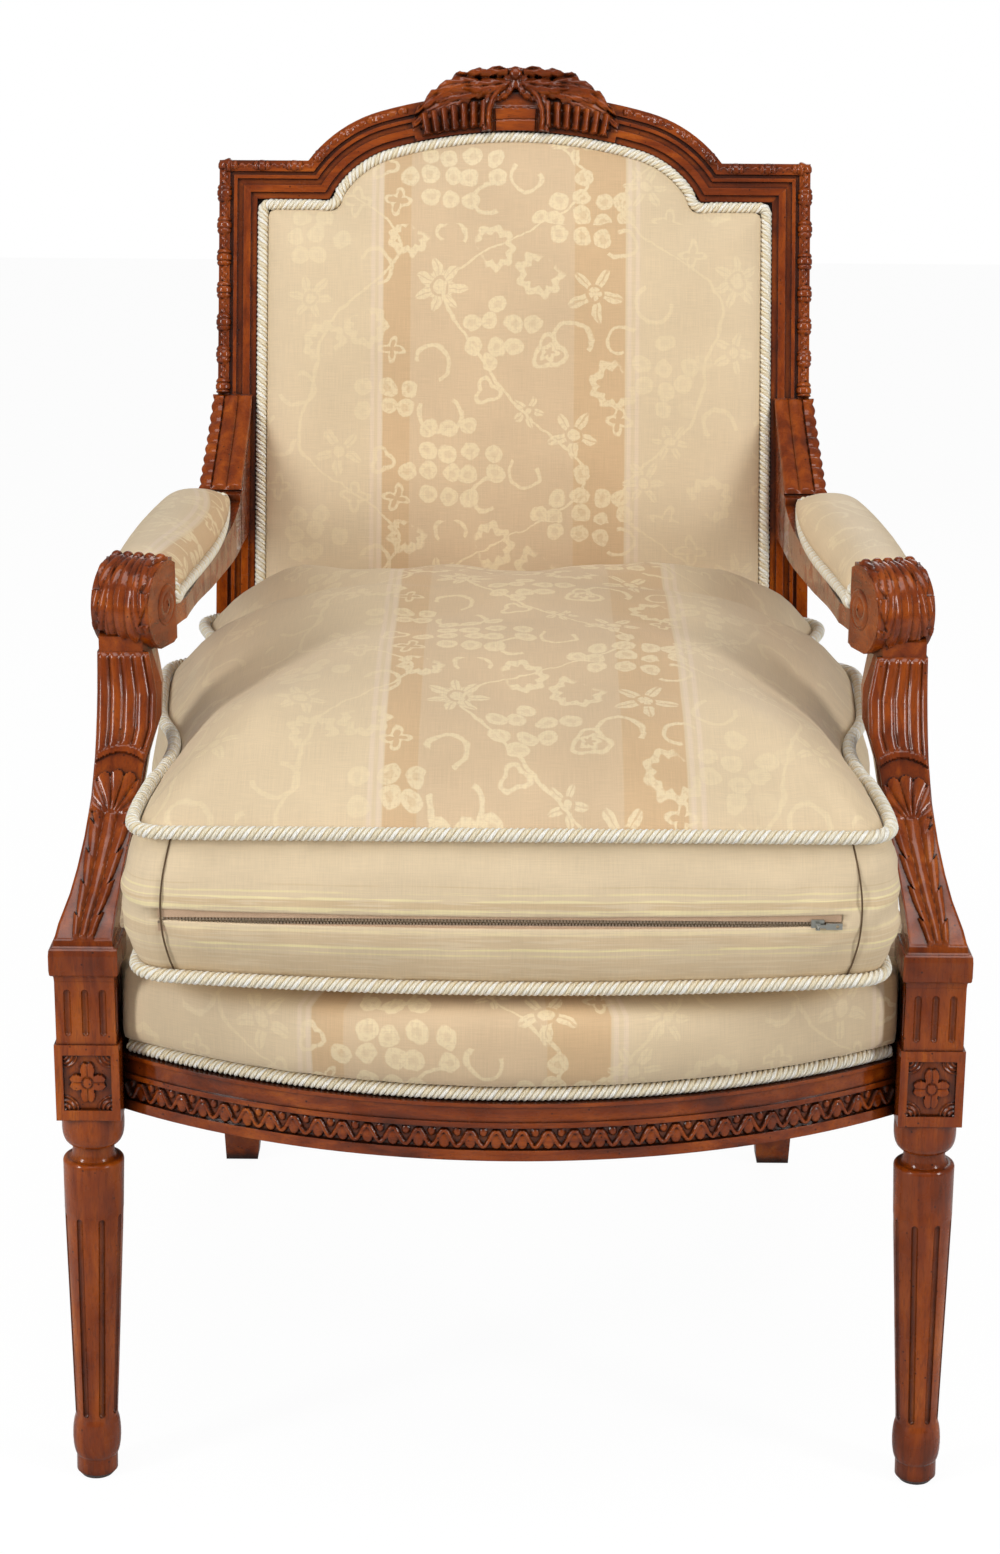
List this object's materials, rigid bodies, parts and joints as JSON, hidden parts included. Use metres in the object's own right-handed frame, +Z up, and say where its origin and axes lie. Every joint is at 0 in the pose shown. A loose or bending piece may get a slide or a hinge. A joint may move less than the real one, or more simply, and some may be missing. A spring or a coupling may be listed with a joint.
{
  "type": "upholstered open armchair",
  "caption": "Open-arm upholstered armchair with an arched carved back, fluted legs, corded damask covers and a loose seat cushion with a zip.",
  "frame": {"origin": "middle of the chair's footprint box, on the floor", "axes": "+X to the right of somebody who looks at the chair's front, +Y towards its back, +Z up"},
  "size_m": [0.664, 0.7798, 1.0207],
  "materials": {
    "walnut": "gloss",
    "beech": "matte",
    "steel": "satin",
    "damask": "satin",
    "cord": "satin",
    "jute": "matte",
    "hair": "matte",
    "black_cloth": "matte",
    "feather_case": "matte",
    "tape": "matte",
    "chain": "satin"
  },
  "bodies": {
    "frame": {"front_leg_left": "walnut", "front_leg_right": "walnut", "post_cap_left": "walnut", "post_cap_right": "walnut", "back_post_left": "walnut", "back_post_right": "walnut", "crest_rail": "walnut", "crest_carving": "walnut", "back_bottom_rail": "walnut", "front_rail": "walnut", "side_rail_left": "walnut", "side_rail_right": "walnut", "rear_rail": "walnut", "arm_support_left": "walnut", "arm_support_right": "walnut", "arm_left": "walnut", "arm_right": "walnut", "front_corner_blocks": "beech", "rear_corner_blocks": "beech", "seat_dowels": "beech", "back_dowels": "beech", "arm_dowels": "beech", "block_screws": "steel", "arm_pad_left": "damask", "arm_pad_right": "damask", "seat_cover": "damask", "back_cover": "damask", "outside_back_cloth": "damask", "arm_pad_cord_left": "cord", "arm_pad_cord_right": "cord", "seat_cord": "cord", "back_cord": "cord", "outside_back_cord": "cord", "seat_webbing": "jute", "seat_hessian": "jute", "back_webbing": "jute", "seat_stuffing": "hair", "back_stuffing": "hair", "bottom_cloth": "black_cloth"},
    "cushion": {"cushion_cover": "damask", "cushion_filling": "feather_case", "cushion_top_cord": "cord", "cushion_bottom_cord": "cord", "zip_tape": "tape", "zip_chain": "chain"},
    "zip_slider": {"zip_slider": "steel"},
    "zip_pull": {"zip_pull": "steel"}
  },
  "joints": [
    {"name": "cushion_lift", "type": "slide", "parent": "frame", "child": "cushion", "axis": [0, 0, 1], "range_m": [0, 0.03]},
    {"name": "zip_slide", "type": "slide", "parent": "cushion", "child": "zip_slider", "axis": [-1, 0, 0], "range_m": [0, 0.44]},
    {"name": "zip_pull_hinge", "type": "hinge", "parent": "zip_slider", "child": "zip_pull", "pos_m": [0.2125, -0.38179, 0.47582], "axis": [0, 0, -1], "range_deg": [0, 150]}
  ]
}
